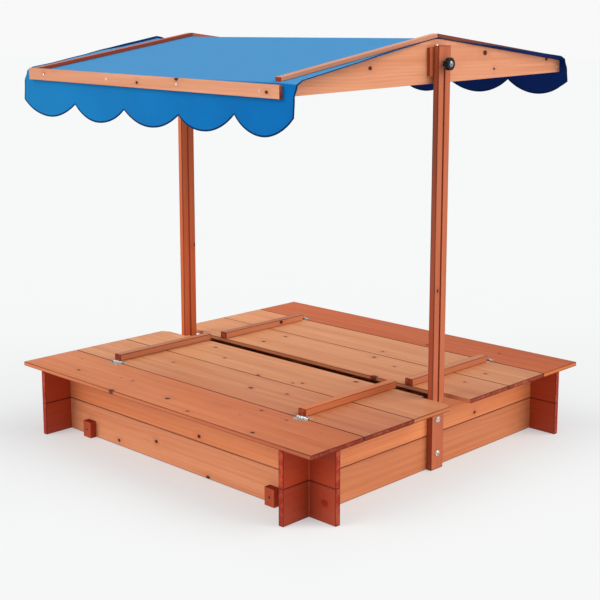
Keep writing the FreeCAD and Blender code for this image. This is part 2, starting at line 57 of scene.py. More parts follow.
def make_camera():
    data = bpy.data.cameras.new("camera")
    data.sensor_width = 36.0
    data.lens = CAMERA_LENS
    data.shift_x, data.shift_y = CAMERA_SHIFT
    cam = bpy.data.objects.new("camera", data)
    bpy.context.scene.collection.objects.link(cam)
    yaw, pitch = math.radians(CAMERA_YAW), math.radians(CAMERA_PITCH)
    ahead = Vector((-math.sin(yaw) * math.cos(pitch), math.cos(yaw) * math.cos(pitch), -math.sin(pitch)))
    turn = ahead.to_track_quat("-Z", "Y").to_matrix() @ Matrix.Rotation(math.radians(CAMERA_ROLL), 3, "Z")
    cam.matrix_world = Matrix.Translation(CAMERA_AT) @ turn.to_4x4()
    bpy.context.scene.camera = cam


make_camera()


# ---------------------------------------------------------------- shader helpers
def put(tree, socket, value):
    if isinstance(value, bpy.types.NodeSocket):
        tree.links.new(value, socket)
    else:
        socket.default_value = value


def add(tree, kind, inputs=None, **settings):
    """A node with its settings and inputs; inputs are values or other nodes' outputs."""
    made = tree.nodes.new(kind)
    for key, value in settings.items():
        setattr(made, key, value)
    for key, value in (inputs or {}).items():
        put(tree, made.inputs[key], value)
    return made


def calc(tree, operation, *values):
    made = add(tree, "ShaderNodeMath", operation=operation)
    for i, value in enumerate(values):
        put(tree, made.inputs[i], value)
    return made.outputs[0]


def hypotenuse(tree, a, b):
    return calc(tree, "SQRT", calc(tree, "ADD", calc(tree, "MULTIPLY", a, a), calc(tree, "MULTIPLY", b, b)))


def vector(tree, operation, *values):
    made = add(tree, "ShaderNodeVectorMath", operation=operation)
    for i, value in enumerate(values):
        put(tree, made.inputs[i], value)
    return made.outputs[0]


def scaled(tree, source, factors):
    return vector(tree, "MULTIPLY", source, factors)


def noise(tree, source, scale=1.0, detail=2.0, roughness=0.5):
    inputs = {"Vector": source, "Scale": scale, "Detail": detail, "Roughness": roughness}
    return add(tree, "ShaderNodeTexNoise", inputs).outputs[0]


def step(tree, value, low, high, to_low=0.0, to_high=1.0):
    """Smooth step of value from low to high."""
    inputs = {"Value": value, "From Min": low, "From Max": high, "To Min": to_low, "To Max": to_high}
    return add(tree, "ShaderNodeMapRange", inputs, interpolation_type="SMOOTHSTEP").outputs[0]


def blend_colour(tree, factor, first, second):
    """Mix of two colours. The sockets go by number, because the colour ones share their names with others."""
    made = add(tree, "ShaderNodeMix", data_type="RGBA")
    for socket, value in ((0, factor), (6, first), (7, second)):
        put(tree, made.inputs[socket], value)
    return made.outputs[2]


def split(tree, source):
    return add(tree, "ShaderNodeSeparateXYZ", {0: source}).outputs


def join(tree, x, y, z):
    return add(tree, "ShaderNodeCombineXYZ", {0: x, 1: y, 2: z}).outputs[0]


def group_tree(name, inputs, outputs):
    """A node group, the sockets that bring its inputs in, and those that take its outputs."""
    tree = bpy.data.node_groups.new(name, "ShaderNodeTree")
    kinds = {"f": "NodeSocketFloat", "v": "NodeSocketVector", "c": "NodeSocketColor"}
    for label, kind in inputs:
        tree.interface.new_socket(label, in_out="INPUT", socket_type=kinds[kind])
    for label, kind in outputs:
        tree.interface.new_socket(label, in_out="OUTPUT", socket_type=kinds[kind])
    return tree, tree.nodes.new("NodeGroupInput").outputs, tree.nodes.new("NodeGroupOutput").inputs


def srgb(*channels):
    """Linear colour from 0-255 sRGB."""
    linear = (c / 255 / 12.92 if c <= 10 else ((c / 255 + 0.055) / 1.055) ** 2.4 for c in channels)
    return (*linear, 1.0)


def new_material(name):
    material = bpy.data.materials.new(name)
    material.use_nodes = True
    return material, material.node_tree, material.node_tree.nodes["Principled BSDF"]


def bump(tree, shader, height, distance, strength):
    made = add(tree, "ShaderNodeBump", {"Height": height, "Distance": distance, "Strength": strength})
    tree.links.new(made.outputs[0], shader.inputs["Normal"])


# ---------------------------------------------------------------- wood
# Metres, and shares. Noise scales are in features per metre, along and across the grain.
RING_SPACING = 0.0075
KNOT_SPREAD = 1.12         # a knot's dark rim reaches past its own radius
KNOT_LENGTH = 1.35         # how much longer than wide a knot is
HALO_REACH = 2.6           # bent grain round a knot, in knot radii
KNOT_COLOUR = srgb(66, 27, 12)
ARRIS_COLOUR = srgb(84, 24, 11)
ARRIS_FROM, ARRIS_TO = 0.0006, 0.0032   # the dark of an arris fades between these distances from it


def make_knot_group():
    """Board coordinates are (along, across, through) in metres. A knot runs through the board's thickness."""
    tree, given, result = group_tree(
        "knot", [("Board", "v"), ("Along", "f"), ("Across", "f"), ("Radius", "f")],
        [("Core", "f"), ("Halo", "f")])
    u, v, _ = split(tree, given["Board"])
    du = calc(tree, "DIVIDE", calc(tree, "SUBTRACT", u, given["Along"]), KNOT_LENGTH)
    dv = calc(tree, "SUBTRACT", v, given["Across"])
    wobble = noise(tree, given["Board"], scale=330.0, detail=1.0)
    ragged = calc(tree, "MULTIPLY_ADD", wobble, 0.7, 0.65)
    far = hypotenuse(tree, du, dv)
    ratio = calc(tree, "DIVIDE", calc(tree, "MULTIPLY", far, ragged), given["Radius"])
    tree.links.new(step(tree, ratio, 0.8, 1.2, 1.0, 0.0), result["Core"])
    wide = calc(tree, "DIVIDE", ratio, HALO_REACH)
    squared = calc(tree, "MULTIPLY", wide, wide)
    tree.links.new(calc(tree, "EXPONENT", calc(tree, "MULTIPLY", squared, -1.0)), result["Halo"])
    return tree


def make_wood_group():
    """Stained softwood: growth rings, fibres, blotches of stain, knots, end grain and dark arrises.

    Board is a point on the board, along, across and through it. Place gives each board its own grain.
    """
    tree, given, result = group_tree(
        "softwood",
        [("Board", "v"), ("Place", "v"), ("Pith across", "f"), ("Pith under", "f"), ("Core", "f"),
         ("Halo", "f"), ("End", "f"), ("Arris", "f"), ("Shade", "f"), ("Light", "c"), ("Mid", "c"),
         ("Dark", "c"), ("End tone", "c")],
        [("Color", "c"), ("Roughness", "f"), ("Height", "f")])
    place = vector(tree, "ADD", given["Board"], given["Place"])
    fibres = noise(tree, scaled(tree, place, (16.0, 620.0, 620.0)), detail=2.0)
    streaks = noise(tree, scaled(tree, place, (2.0, 60.0, 60.0)), detail=4.0, roughness=0.6)
    bands = noise(tree, scaled(tree, place, (0.8, 13.0, 13.0)), detail=2.0)
    stain = noise(tree, scaled(tree, place, (6.0, 13.0, 13.0)), detail=3.0, roughness=0.6)
    drift = noise(tree, scaled(tree, place, (1.3, 3.5, 3.5)), detail=2.0)
    shift = calc(tree, "MULTIPLY", calc(tree, "SUBTRACT", drift, 0.5), 0.07)

    _, v, w = split(tree, given["Board"])
    across = calc(tree, "ADD", calc(tree, "SUBTRACT", v, given["Pith across"]), shift)
    half_shift = calc(tree, "MULTIPLY", shift, 0.5)
    under = calc(tree, "ADD", calc(tree, "SUBTRACT", w, given["Pith under"]), half_shift)
    bend = calc(tree, "MULTIPLY", given["Halo"], RING_SPACING * 1.5)
    radius = calc(tree, "ADD", hypotenuse(tree, across, under), bend)
    ring = calc(tree, "FRACT", calc(tree, "DIVIDE", radius, RING_SPACING))
    late = calc(tree, "MULTIPLY", step(tree, ring, 0.2, 0.85), step(tree, ring, 0.88, 1.0, 1.0, 0.0))

    colour = blend_colour(tree, step(tree, streaks, 0.3, 0.7), given["Light"], given["Mid"])
    ring_strength = calc(tree, "MULTIPLY", late, calc(tree, "MULTIPLY_ADD", bands, 0.3, 0.02))
    colour = blend_colour(tree, ring_strength, colour, given["Dark"])
    for pattern, low, high, strength, tone in (
            (bands, 0.45, 0.8, 0.3, "Dark"), (stain, 0.42, 0.7, 0.35, "Mid"),
            (stain, 0.6, 0.85, 0.3, "Dark"), (fibres, 0.5, 0.78, 0.1, "Dark")):
        share = calc(tree, "MULTIPLY", step(tree, pattern, low, high), strength)
        colour = blend_colour(tree, share, colour, given[tone])
    colour = blend_colour(tree, calc(tree, "MULTIPLY", given["Halo"], 0.32), colour, given["Dark"])
    colour = blend_colour(tree, given["Core"], colour, KNOT_COLOUR)
    # Shade takes the colour towards the end tone: the long edges' tone, and painted shade on stubs and on
    # faces turned one way
    colour = blend_colour(tree, given["Shade"], colour, given["End tone"])
    mottled = blend_colour(tree, step(tree, streaks, 0.42, 0.62), given["End tone"], given["Mid"])
    end_colour = blend_colour(tree, 0.25, given["End tone"], mottled)
    colour = blend_colour(tree, given["End"], colour, end_colour)
    unworn = calc(tree, "MULTIPLY_ADD", step(tree, stain, 0.35, 0.75), -0.35, 1.0)
    arris = calc(tree, "MULTIPLY", calc(tree, "MULTIPLY", given["Arris"], unworn), 0.85)
    colour = blend_colour(tree, arris, colour, ARRIS_COLOUR)
    tree.links.new(colour, result["Color"])

    rough = calc(tree, "MULTIPLY_ADD", streaks, 0.2, 0.36)
    tree.links.new(calc(tree, "ADD", rough, calc(tree, "MULTIPLY", given["End"], 0.2)), result["Roughness"])
    height = calc(tree, "ADD", calc(tree, "MULTIPLY", late, 0.3), calc(tree, "MULTIPLY", fibres, 0.5))
    hollow = calc(tree, "MULTIPLY", given["Core"], 0.4)
    tree.links.new(calc(tree, "SUBTRACT", height, hollow), result["Height"])
    return tree


KNOT_GROUP = make_knot_group()
WOOD_GROUP = make_wood_group()
FAR_AWAY = 9.0             # metres, the most that a board's grain is moved in the noise
EDGE_STRENGTH = 0.22       # stain that a board's long edges took up, unless EDGE_SHADE says otherwise
# Painted shade on the wall boards past their crossings: how strong it is, and the metres over which it comes
# in
STUB_SHADE_STRENGTH, STUB_SHADE_BLEND = 0.85, 0.002


def arris_mask(tree, board, low, high):
    """1 at the arrises of a box-shaped board, 0 further in."""
    to_low = vector(tree, "SUBTRACT", board, low)
    to_high = vector(tree, "SUBTRACT", high, board)
    a, b, c = split(tree, vector(tree, "MINIMUM", to_low, to_high))
    second = calc(tree, "MAXIMUM", calc(tree, "MINIMUM", a, b),
                  calc(tree, "MINIMUM", calc(tree, "MAXIMUM", a, b), c))
    return step(tree, second, ARRIS_FROM, ARRIS_TO, 1.0, 0.0)


def turned_to(tree, component):
    """1 where this component of the normal says that the surface faces along its axis, either way."""
    return step(tree, calc(tree, "ABSOLUTE", component), 0.75, 0.92)


def wood_material(name, axes, tone, knots, low, high, slope=0.0, arrises=True):
    """axes says which of x, y, z run along, across and through the board.

    Knots are (along, across, radius). slope turns a board about x, in degrees, to lie along the axes.
    """
    material, tree, shader = new_material("wood_" + name)
    coordinates = add(tree, "ShaderNodeTexCoord").outputs
    at, facing = coordinates["Object"], coordinates["Normal"]
    if slope:
        for_turn = {"Axis": (1.0, 0.0, 0.0), "Angle": math.radians(slope)}
        at = add(tree, "ShaderNodeVectorRotate", {"Vector": at, **for_turn}).outputs[0]
        facing = add(tree, "ShaderNodeVectorRotate", {"Vector": facing, **for_turn}).outputs[0]
    order = ["xyz".index(letter) for letter in axes]
    at_axes, facing_axes = split(tree, at), split(tree, facing)
    board = join(tree, *(at_axes[i] for i in order))
    end, edge = (turned_to(tree, facing_axes[i]) for i in order[:2])
    shade = calc(tree, "MULTIPLY", edge, EDGE_SHADE.get(name, EDGE_STRENGTH))
    # Painted shade past the wall boards' crossings
    if name in SHADED_STUBS:
        past = step(tree, calc(tree, "ABSOLUTE", at_axes[order[0]]), SHADED_STUBS[name], SHADED_STUBS[name] + STUB_SHADE_BLEND)
        shade = calc(tree, "MAXIMUM", shade, calc(tree, "MULTIPLY", past, STUB_SHADE_STRENGTH))
    # Painted shade on a face turned one way
    if name in SHADED_FACES:
        axis, sign, strength = SHADED_FACES[name]
        face = step(tree, calc(tree, "MULTIPLY", facing_axes[axis], sign), 0.5, 0.8)
        shade = calc(tree, "MAXIMUM", shade, calc(tree, "MULTIPLY", face, strength))
    low, high = [low[i] for i in order], [high[i] for i in order]
    draw = random.Random("wood " + name)
    place = [draw.uniform(-FAR_AWAY, FAR_AWAY) for _ in range(3)]
    middle = (low[1] + high[1]) / 2
    inputs = {"Board": board, "Place": place, "End": end, "Shade": shade,
              "Pith across": middle + draw.uniform(-0.03, 0.03),
              "Pith under": low[2] - draw.uniform(0.012, 0.05),
              "Arris": arris_mask(tree, board, low, high) if arrises else 0.0,
              "Mid": srgb(*tone)}
    for label, shares in (("Light", LIGHTER), ("Dark", DARKER), ("End tone", end_shares(name))):
        inputs[label] = srgb(*shifted(tone, shares))
    core = halo = 0.0
    for along, across, radius in knots:
        knot = add(tree, "ShaderNodeGroup", node_tree=KNOT_GROUP)
        spread = radius * KNOT_SPREAD
        for key, value in (("Board", board), ("Along", along), ("Across", across), ("Radius", spread)):
            put(tree, knot.inputs[key], value)
        core = calc(tree, "MAXIMUM", core, knot.outputs["Core"])
        halo = calc(tree, "MAXIMUM", halo, knot.outputs["Halo"])
    inputs.update({"Core": core, "Halo": halo})
    wood = add(tree, "ShaderNodeGroup", node_tree=WOOD_GROUP)
    for key, value in inputs.items():
        put(tree, wood.inputs[key], value)
    colour = wood.outputs["Color"]
    # Painted light towards the board's left end, painted shade towards its right end
    if name in BOARD_PAINTED_LIGHT_LEFT:
        factors = (calc(tree, "MULTIPLY_ADD", at_axes[order[0]], -BOARD_PAINTED_LIGHT_LEFT[name] * share / high[0], 1.0)
                   for share in BOARD_PAINTED_LIGHT_SHARES)
        colour = scaled(tree, colour, join(tree, *factors))
    tree.links.new(colour, shader.inputs["Base Color"])
    tree.links.new(wood.outputs["Roughness"], shader.inputs["Roughness"])
    shader.inputs["Specular IOR Level"].default_value = 0.2
    bump(tree, shader, wood.outputs["Height"], 0.0005, 0.5)
    return material


# Shares of a board's tone, per channel
LIGHTER = (1.05, 1.13, 1.18)
DARKER = (0.84, 0.72, 0.66)
END_GRAIN = (0.68, 0.35, 0.23)
# Tone of the stubs' painted shade, which is also the wall boards' end grain
STUB_SHADE_AND_END_GRAIN = (0.74, 0.27, 0.13)
# Ends that took up less stain than the others
PALE_ENDS = {"front_lid_inner_board": (0.98, 0.9, 0.8), "back_seat_board": (1.05, 1.2, 1.3)}


def end_shares(name):
    if name in SHADED_STUBS:
        return STUB_SHADE_AND_END_GRAIN
    return PALE_ENDS.get(name, END_GRAIN)


def shifted(tone, shares):
    return tuple(min(255.0, channel * share) for channel, share in zip(tone, shares))


# Tones as sRGB
TONES = {
    "lid": (206, 126, 84),
    "pale_lid": (221, 145, 97),
    "front_outer_lid": (213, 135, 90),
    "seat": (214, 122, 74),
    "back_seat": (199, 94, 42),
    "wall": (212, 124, 77),
    "front_low_wall": (205, 127, 86),
    "right_low_wall": (200, 117, 74),
    "right_up_wall": (226, 131, 80),
    "post": (189, 98, 62),
    "left_post": (206, 100, 54),
    "gable": (214, 137, 98),
    "trim": (211, 140, 104),
    # A slope batten toned dark for the shade it sits in: painted shade
    "trim_in_painted_shade": (128, 58, 40),
    "block": (164, 63, 33),
    "inside": (188, 100, 64),
}
# Wall boards and how far from the middle, in metres, they cross. Past the crossings they are darker: painted
# shade, for the corners under the cover's overhang.
SHADED_STUBS = {"%s_%s_wall" % (side, course): 0.508 if side in ("front", "back") else 0.489
         for side in ("front", "back", "left", "right") for course in ("lower", "upper")}
# The front seat board's long edges: their edge tone, and painted shade on its lit front edge
EDGE_SHADE = {"left_post": 0.0, "right_post": 0.0, "back_lid_inner_board": 0.5, "front_seat_board": 0.4}
# Painted light and shade along a board: how much paler it is at its left end, and darker at its right end,
# and each channel's share in that
BOARD_PAINTED_LIGHT_LEFT = {"front_seat_board": 0.3, "front_lid_outer_board": 0.33, "front_lid_inner_board": 0.3,
              "back_lid_inner_board": 0.2, "back_lid_outer_board": 0.15}
BOARD_PAINTED_LIGHT_SHARES = (0.75, 1.0, 1.0)
# (axis, sign, strength): a face darkened towards its end tone for the way it faces, painted shade
SHADED_FACES = {"right_post": (1, -1.0, 0.45), "left_front_slope_batten": (0, 1.0, 0.8),
              "left_spacer": (1, -1.0, 0.6), "right_spacer": (1, -1.0, 0.6)}

# node: (axes, tone, knots the object shows as (along, across, radius) in metres, how many more at random)
BOARDS = {
    "front_lower_wall": ("xzy", "front_low_wall", [(-0.258, 0.016, 0.004), (-0.087, 0.053, 0.0045),
                                                   (0.131, 0.004, 0.005), (0.561, 0.051, 0.008)], 0),
    "front_upper_wall": ("xzy", "wall", [(0.096, 0.111, 0.0045)], 0),
    "back_lower_wall": ("xzy", "wall", [], 4),
    "back_upper_wall": ("xzy", "wall", [], 3),
    "left_lower_wall": ("yzx", "wall", [], 2),
    "left_upper_wall": ("yzx", "wall", [], 2),
    "right_lower_wall": ("yzx", "right_low_wall", [], 0),
    "right_upper_wall": ("yzx", "right_up_wall", [(0.192, 0.114, 0.004)], 0),
    "front_seat_board": ("xyz", "seat", [(0.003, -0.519, 0.0055), (-0.405, -0.519, 0.004),
                                         (-0.2, -0.48, 0.003), (0.128, -0.555, 0.0035),
                                         (0.377, -0.556, 0.0045), (0.368, -0.428, 0.003),
                                         (0.262, -0.415, 0.0035), (-0.171, -0.576, 0.006)], 0),
    "back_seat_board": ("xyz", "back_seat", [], 2),
    "front_lid_outer_board": ("xyz", "front_outer_lid", [(0.092, -0.293, 0.0055), (0.207, -0.265, 0.004),
                                                         (-0.271, -0.27, 0.0035)], 0),
    "front_lid_inner_board": ("xyz", "pale_lid", [(0.014, -0.19, 0.0045), (-0.197, -0.131, 0.004),
                                                  (0.164, -0.16, 0.004), (0.264, -0.045, 0.0055),
                                                  (-0.313, -0.064, 0.0045), (0.143, -0.178, 0.003)], 0),
    "back_lid_outer_board": ("xyz", "pale_lid", [(0.48, 0.28, 0.004)], 1),
    "back_lid_inner_board": ("xyz", "pale_lid", [(0.126, 0.193, 0.005), (-0.252, 0.186, 0.0045),
                                                 (-0.256, 0.091, 0.005), (0.238, 0.156, 0.0035),
                                                 (0.488, 0.169, 0.0035), (0.264, 0.034, 0.008)], 0),
    "front_lid_left_batten": ("yxz", "lid", [], 0),
    "front_lid_right_batten": ("yxz", "seat", [], 0),
    "back_lid_left_batten": ("yzx", "lid", [(0.282, 0.216, 0.005)], 0),
    "back_lid_right_batten": ("yxz", "lid", [], 0),
    "left_post": ("zyx", "left_post", [], 2),
    "right_post": ("zyx", "post", [], 1),
    "left_gable": ("yzx", "gable", [], 3),
    "right_gable": ("yzx", "gable", [(-0.263, 1.097, 0.0045), (0.214, 1.13, 0.006), (0.517, 1.109, 0.0045),
                                     (0.258, 1.086, 0.003)], 0),
    "left_spacer": ("zyx", "post", [], 0),
    "right_spacer": ("zyx", "post", [], 0),
    "front_eave_rail": ("xzy", "inside", [], 2),
    "back_eave_rail": ("xzy", "inside", [], 2),
    "ridge_rail": ("xzy", "inside", [], 2),
    "front_fascia": ("xzy", "trim", [(-0.008, 1.056, 0.0035), (0.149, 1.07, 0.005), (0.469, 1.048, 0.0035),
                                     (-0.422, 1.068, 0.003)], 0),
    "back_fascia": ("xzy", "trim", [], 3),
    "left_front_slope_batten": ("yxz", "post", [], 0),
    "left_back_slope_batten": ("yxz", "post", [], 0),
    "right_front_slope_batten": ("yxz", "trim", [], 0),
    "right_back_slope_batten": ("yxz", "trim_in_painted_shade", [], 0),
    "front_foot_blocks": ("zxy", "block", [], 0),
    "back_foot_blocks": ("zxy", "block", [], 0),
    "wall_cleats": ("zxy", "inside", [], 2),
}
ROOF_SLOPE = 8.0           # degrees
# Boards out of line with the axes, and nodes of several boards, get no dark arrises
TILTED_BOARDS = {"left_gable", "right_gable", "left_spacer", "right_spacer", "front_fascia", "back_fascia",
                 "front_eave_rail", "back_eave_rail", "ridge_rail"}
SEVERAL_SOLIDS = {"front_foot_blocks", "back_foot_blocks", "wall_cleats"}


def more_knots(name, count, low, high, order):
    """Small knots for boards whose own can't be seen, always the same for one board."""
    draw = random.Random("knots " + name)
    inset = (high[order[0]] - low[order[0]]) * 0.15
    along, across = (low[order[0]] + inset, high[order[0]] - inset), (low[order[1]], high[order[1]])
    return [(draw.uniform(*along), draw.uniform(*across), draw.uniform(0.003, 0.0055)) for _ in range(count)]


def give(node, material):
    """Gives a CAD node one material in its object's material slots."""
    piece = NODES[node]
    if not piece.material_slots:
        piece.data.materials.append(material)
    for place in piece.material_slots:
        place.link = "OBJECT"
        place.material = material


for node, (axes, tone, knots, extra) in BOARDS.items():
    low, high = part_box(node)
    order = ["xyz".index(letter) for letter in axes]
    turn = 0.0
    if "slope_batten" in node:
        turn = -ROOF_SLOPE if "_front_" in node else ROOF_SLOPE
    plain_box = node not in TILTED_BOARDS | SEVERAL_SOLIDS and not turn
    all_knots = knots + more_knots(node, extra, low, high, order)
    give(node, wood_material(node, axes, TONES[tone], all_knots, low, high, turn, arrises=plain_box))


# ---------------------------------------------------------------- metal and plastic
def zinc_material():
    material, tree, shader = new_material("zinc")
    at = add(tree, "ShaderNodeTexCoord").outputs["Object"]
    cloudy = noise(tree, at, scale=260.0, detail=3.0)
    colour = blend_colour(tree, step(tree, cloudy, 0.35, 0.7), srgb(242, 240, 234), srgb(132, 132, 136))
    tree.links.new(colour, shader.inputs["Base Color"])
    tree.links.new(calc(tree, "MULTIPLY_ADD", cloudy, 0.3, 0.2), shader.inputs["Roughness"])
    shader.inputs["Metallic"].default_value = 0.85
    bump(tree, shader, noise(tree, at, scale=900.0), 0.0002, 0.3)
    return material


def screw_material(name, light, dark):
    """Screw heads that were stained along with the boards, or have dulled."""
    material, tree, shader = new_material(name)
    at = add(tree, "ShaderNodeTexCoord").outputs["Object"]
    cloudy = noise(tree, at, scale=500.0, detail=2.0)
    tree.links.new(blend_colour(tree, step(tree, cloudy, 0.35, 0.65), srgb(*light), srgb(*dark)),
                   shader.inputs["Base Color"])
    tree.links.new(calc(tree, "MULTIPLY_ADD", cloudy, 0.3, 0.35), shader.inputs["Roughness"])
    shader.inputs["Metallic"].default_value = 0.3
    bump(tree, shader, cloudy, 0.0002, 0.3)
    return material


def cap_material():
    """Dull grey metal cap."""
    material, tree, shader = new_material("cap_metal")
    at = add(tree, "ShaderNodeTexCoord").outputs["Object"]
    scuffs = noise(tree, scaled(tree, at, (150.0, 900.0, 150.0)), detail=3.0)
    colour = blend_colour(tree, step(tree, scuffs, 0.4, 0.65), srgb(148, 152, 156), srgb(104, 108, 112))
    tree.links.new(colour, shader.inputs["Base Color"])
    tree.links.new(calc(tree, "MULTIPLY_ADD", scuffs, 0.25, 0.28), shader.inputs["Roughness"])
    shader.inputs["Metallic"].default_value = 0.7
    bump(tree, shader, scuffs, 0.0001, 0.4)
    return material


def knob_material():
    """Black moulded plastic with a fine spark texture, greyer where hands rub it."""
    material, tree, shader = new_material("black_plastic")
    at = add(tree, "ShaderNodeTexCoord").outputs["Object"]
    grain = noise(tree, at, scale=1400.0, detail=1.0)
    worn = noise(tree, at, scale=90.0, detail=3.0)
    colour = blend_colour(tree, step(tree, worn, 0.45, 0.8), srgb(5, 5, 6), srgb(14, 14, 16))
    tree.links.new(colour, shader.inputs["Base Color"])
    tree.links.new(calc(tree, "MULTIPLY_ADD", worn, 0.2, 0.4), shader.inputs["Roughness"])
    shader.inputs["Specular IOR Level"].default_value = 0.25
    bump(tree, shader, grain, 0.0002, 0.5)
    return material


zinc, cap_metal, black_plastic = zinc_material(), cap_material(), knob_material()
SCREWS_IN_STAIN = {"seat_board_screws": screw_material("stained_screws", (204, 118, 76), (182, 98, 60)),
                   "wall_screws": screw_material("dark_screws", (58, 40, 34), (40, 28, 24))}
for node in NODES:
    if node.endswith("_knob"):
        give(node, black_plastic)
    elif node.endswith("_knob_cap"):
        give(node, cap_metal)
    elif node not in BOARDS and node != "canopy":
        give(node, SCREWS_IN_STAIN.get(node, zinc))


# ---------------------------------------------------------------- canopy
# Millimetres. The roof's own frame is level; it is set back and tilted about the clamp axis as a whole.
AXIS_Z = 1104.0
TILT = 1.7                 # degrees
SET_BACK = 3.5
EAVE_Y, EAVE_Z = 583.5, 1087.0
APEX_Z, PEAK_R = 1169.5, 200.0   # where the slopes would meet, and the rounding of the ridge
OVER_WOOD = 1.05           # cloth's middle over the wood
SAG_HALF = 478.0           # the cloth hangs free this far to each side of the middle
SAG, SAG_FROM, SAG_LENGTH = 5.0, 20.0, 540.0   # how deep a slope sags, from where, and over what length
CREASES, PULLS = 0.8, 0.7  # heights of the soft creases, and of the small ones at the eaves
PULLS_FROM, PULLS_TO = 380.0, 560.0   # the small ones lie between these distances from the ridge
KNEE_Z = 1047.0            # the valances flare from here down
FLARE = 8.0
WAVE, WAVE_MOST = 1.7, 2.5   # how far the hem waves in and out
SCALLOP_DEPTH = 40.0
HEM_Z = {-1: EAVE_Z - 124.0, 1: EAVE_Z - 102.0}   # the valances' lowest points, front and back
# Across the sheet, the cusps between scallops and the outer corners. Then how much higher each cusp and each
# scallop's lowest point is than on an even hem.
CORNERS = {-1: (-537.0, -291.0, -77.0, 147.0, 349.0, 549.0), 1: (-542.0, -335.0, -121.0, 80.0, 311.0, 518.0)}
CUSP_LIFT = {-1: (8.0, 2.0, -3.0, -6.0, 5.0, 6.0), 1: (0.0, 0.0, 2.0, -2.0, 1.0, 0.0)}
BOTTOM_LIFT = {-1: (4.0, -1.0, -2.0, 0.0, -2.0), 1: (0.0, 1.0, -6.0, -1.0, 0.0)}
RIDGE_HALF, RIDGE_ZONE = 500.0, 60.0   # half width at the ridge, and how far the right edge keeps it
POST_ROOM, POST_BLEND = 74.0, 22.0   # a post reaches this far from the ridge when the roof is down and tilted
BATTEN_OUT = 499.5         # outside of the slope battens, which pinch the cloth
LIFT_FROM, LIFT_BLEND = 468.0, 12.0   # near the ridge the battens' ends lift the cloth from here outwards
LIFT_TO, LIFT_FALL = 70.0, 30.0   # the lift is gone this far from the ridge, and falls off just before
FADE_DOWN = 70.0           # the side edges' rise dies out this far down the valances
STEEPEST = 0.94            # sine of the steepest that a side edge stands up
# How far the cloth's side edges stand up from the roof's plane, by distance from the ridge. Keys are the
# side, -1 for left, and the end, -1 for front.
EDGE_UP = {(-1, -1): ((74, 0.0), (96, 18.0), (200, 16.5), (300, 14.5), (395, 10.5), (500, 8.0), (586, 9.0)),
           (-1, 1): ((74, 0.0), (96, 4.0), (400, 6.0), (586, 5.0)),
           (1, -1): ((60, 0.0), (586, 0.0)),
           (1, 1): ((60, 0.0), (120, 1.5), (300, 6.0), (586, 9.0))}
EAVE_EXTRA = {(1, 1): 6.0}   # how much wider the sheet is at the eave
EAVE_END = EAVE_Y - 15.0   # the sheet has its full width from here on
CORNER_REACH, CORNER_BACK, CORNER_DOWN = 32.0, 10.0, 4.5   # how the sheet rounds off at its folded corners
PER_SCALLOP, OVERHANG_COLUMNS = 28, 7
SCALLOPS = len(CORNERS[-1]) - 1
COLUMNS = SCALLOPS * PER_SCALLOP + 1
SLOPE_ROWS, VALANCE_ROWS = 60, 20
FOLD = 3.0                 # size of the fold over the eave
SLOPE = math.atan2(APEX_Z - EAVE_Z, EAVE_Y)


def smooth(t):
    t = min(1.0, max(0.0, t))
    return t * t * (3 - 2 * t)


def between(table, at):
    """Value of a table of (place, value) at a place."""
    for (x0, y0), (x1, y1) in zip(table, table[1:]):
        if at <= x1:
            return y0 + (y1 - y0) * smooth((at - x0) / (x1 - x0))
    return table[-1][1]


def top_height(y):
    """Height of the cloth's middle over the two slopes and the rounded ridge."""
    radius = PEAK_R + OVER_WOOD
    centre = APEX_Z - PEAK_R / math.cos(SLOPE)
    tangent_y = math.sin(SLOPE) * radius
    if abs(y) < tangent_y:
        return centre + math.sqrt(radius * radius - y * y)
    return centre + math.cos(SLOPE) * radius - (abs(y) - tangent_y) * math.tan(SLOPE)


def side_limit(side, y):
    """How far the sheet reaches sideways at this distance from the ridge."""
    end = -1 if y < 0 else 1
    eave = abs(CORNERS[end][0 if side < 0 else -1]) + EAVE_EXTRA.get((side, end), 0.0)
    if side < 0:
        share = smooth((abs(y) - POST_ROOM) / POST_BLEND)
    else:
        share = min(1.0, max(0.0, (abs(y) - RIDGE_ZONE) / (EAVE_END - RIDGE_ZONE)))
    return RIDGE_HALF + (eave - RIDGE_HALF) * share


def overhang_share(column):
    """-1 at the left edge of the sheet, 0 between the battens, 1 at the right edge."""
    last = COLUMNS - 1
    if column < OVERHANG_COLUMNS:
        return column / OVERHANG_COLUMNS - 1.0
    return max(0.0, (column - last) / OVERHANG_COLUMNS + 1.0)


def inner_x(end, column):
    """Place across the sheet of a column between the battens, with every cusp on a column."""
    scallop, part = divmod(column, PER_SCALLOP)
    corners = (-BATTEN_OUT, *CORNERS[end][1:-1], BATTEN_OUT)
    count = PER_SCALLOP
    if scallop == 0:
        part, count = part - OVERHANG_COLUMNS, count - OVERHANG_COLUMNS
    elif scallop >= SCALLOPS - 1:
        scallop = SCALLOPS - 1
        part, count = column - scallop * PER_SCALLOP, count - OVERHANG_COLUMNS
    return corners[scallop] + (corners[scallop + 1] - corners[scallop]) * part / count


def sheet_x(column, y):
    """Place across the sheet, laid flat, of a column at a distance from the ridge."""
    over = overhang_share(column)
    if over:
        side = -1 if over < 0 else 1
        return side * BATTEN_OUT + over * (side_limit(side, y) - BATTEN_OUT)
    share = min(1.0, max(0.0, (y + EAVE_Y) / (2 * EAVE_Y)))
    return inner_x(-1, column) * (1 - share) + inner_x(1, column) * share


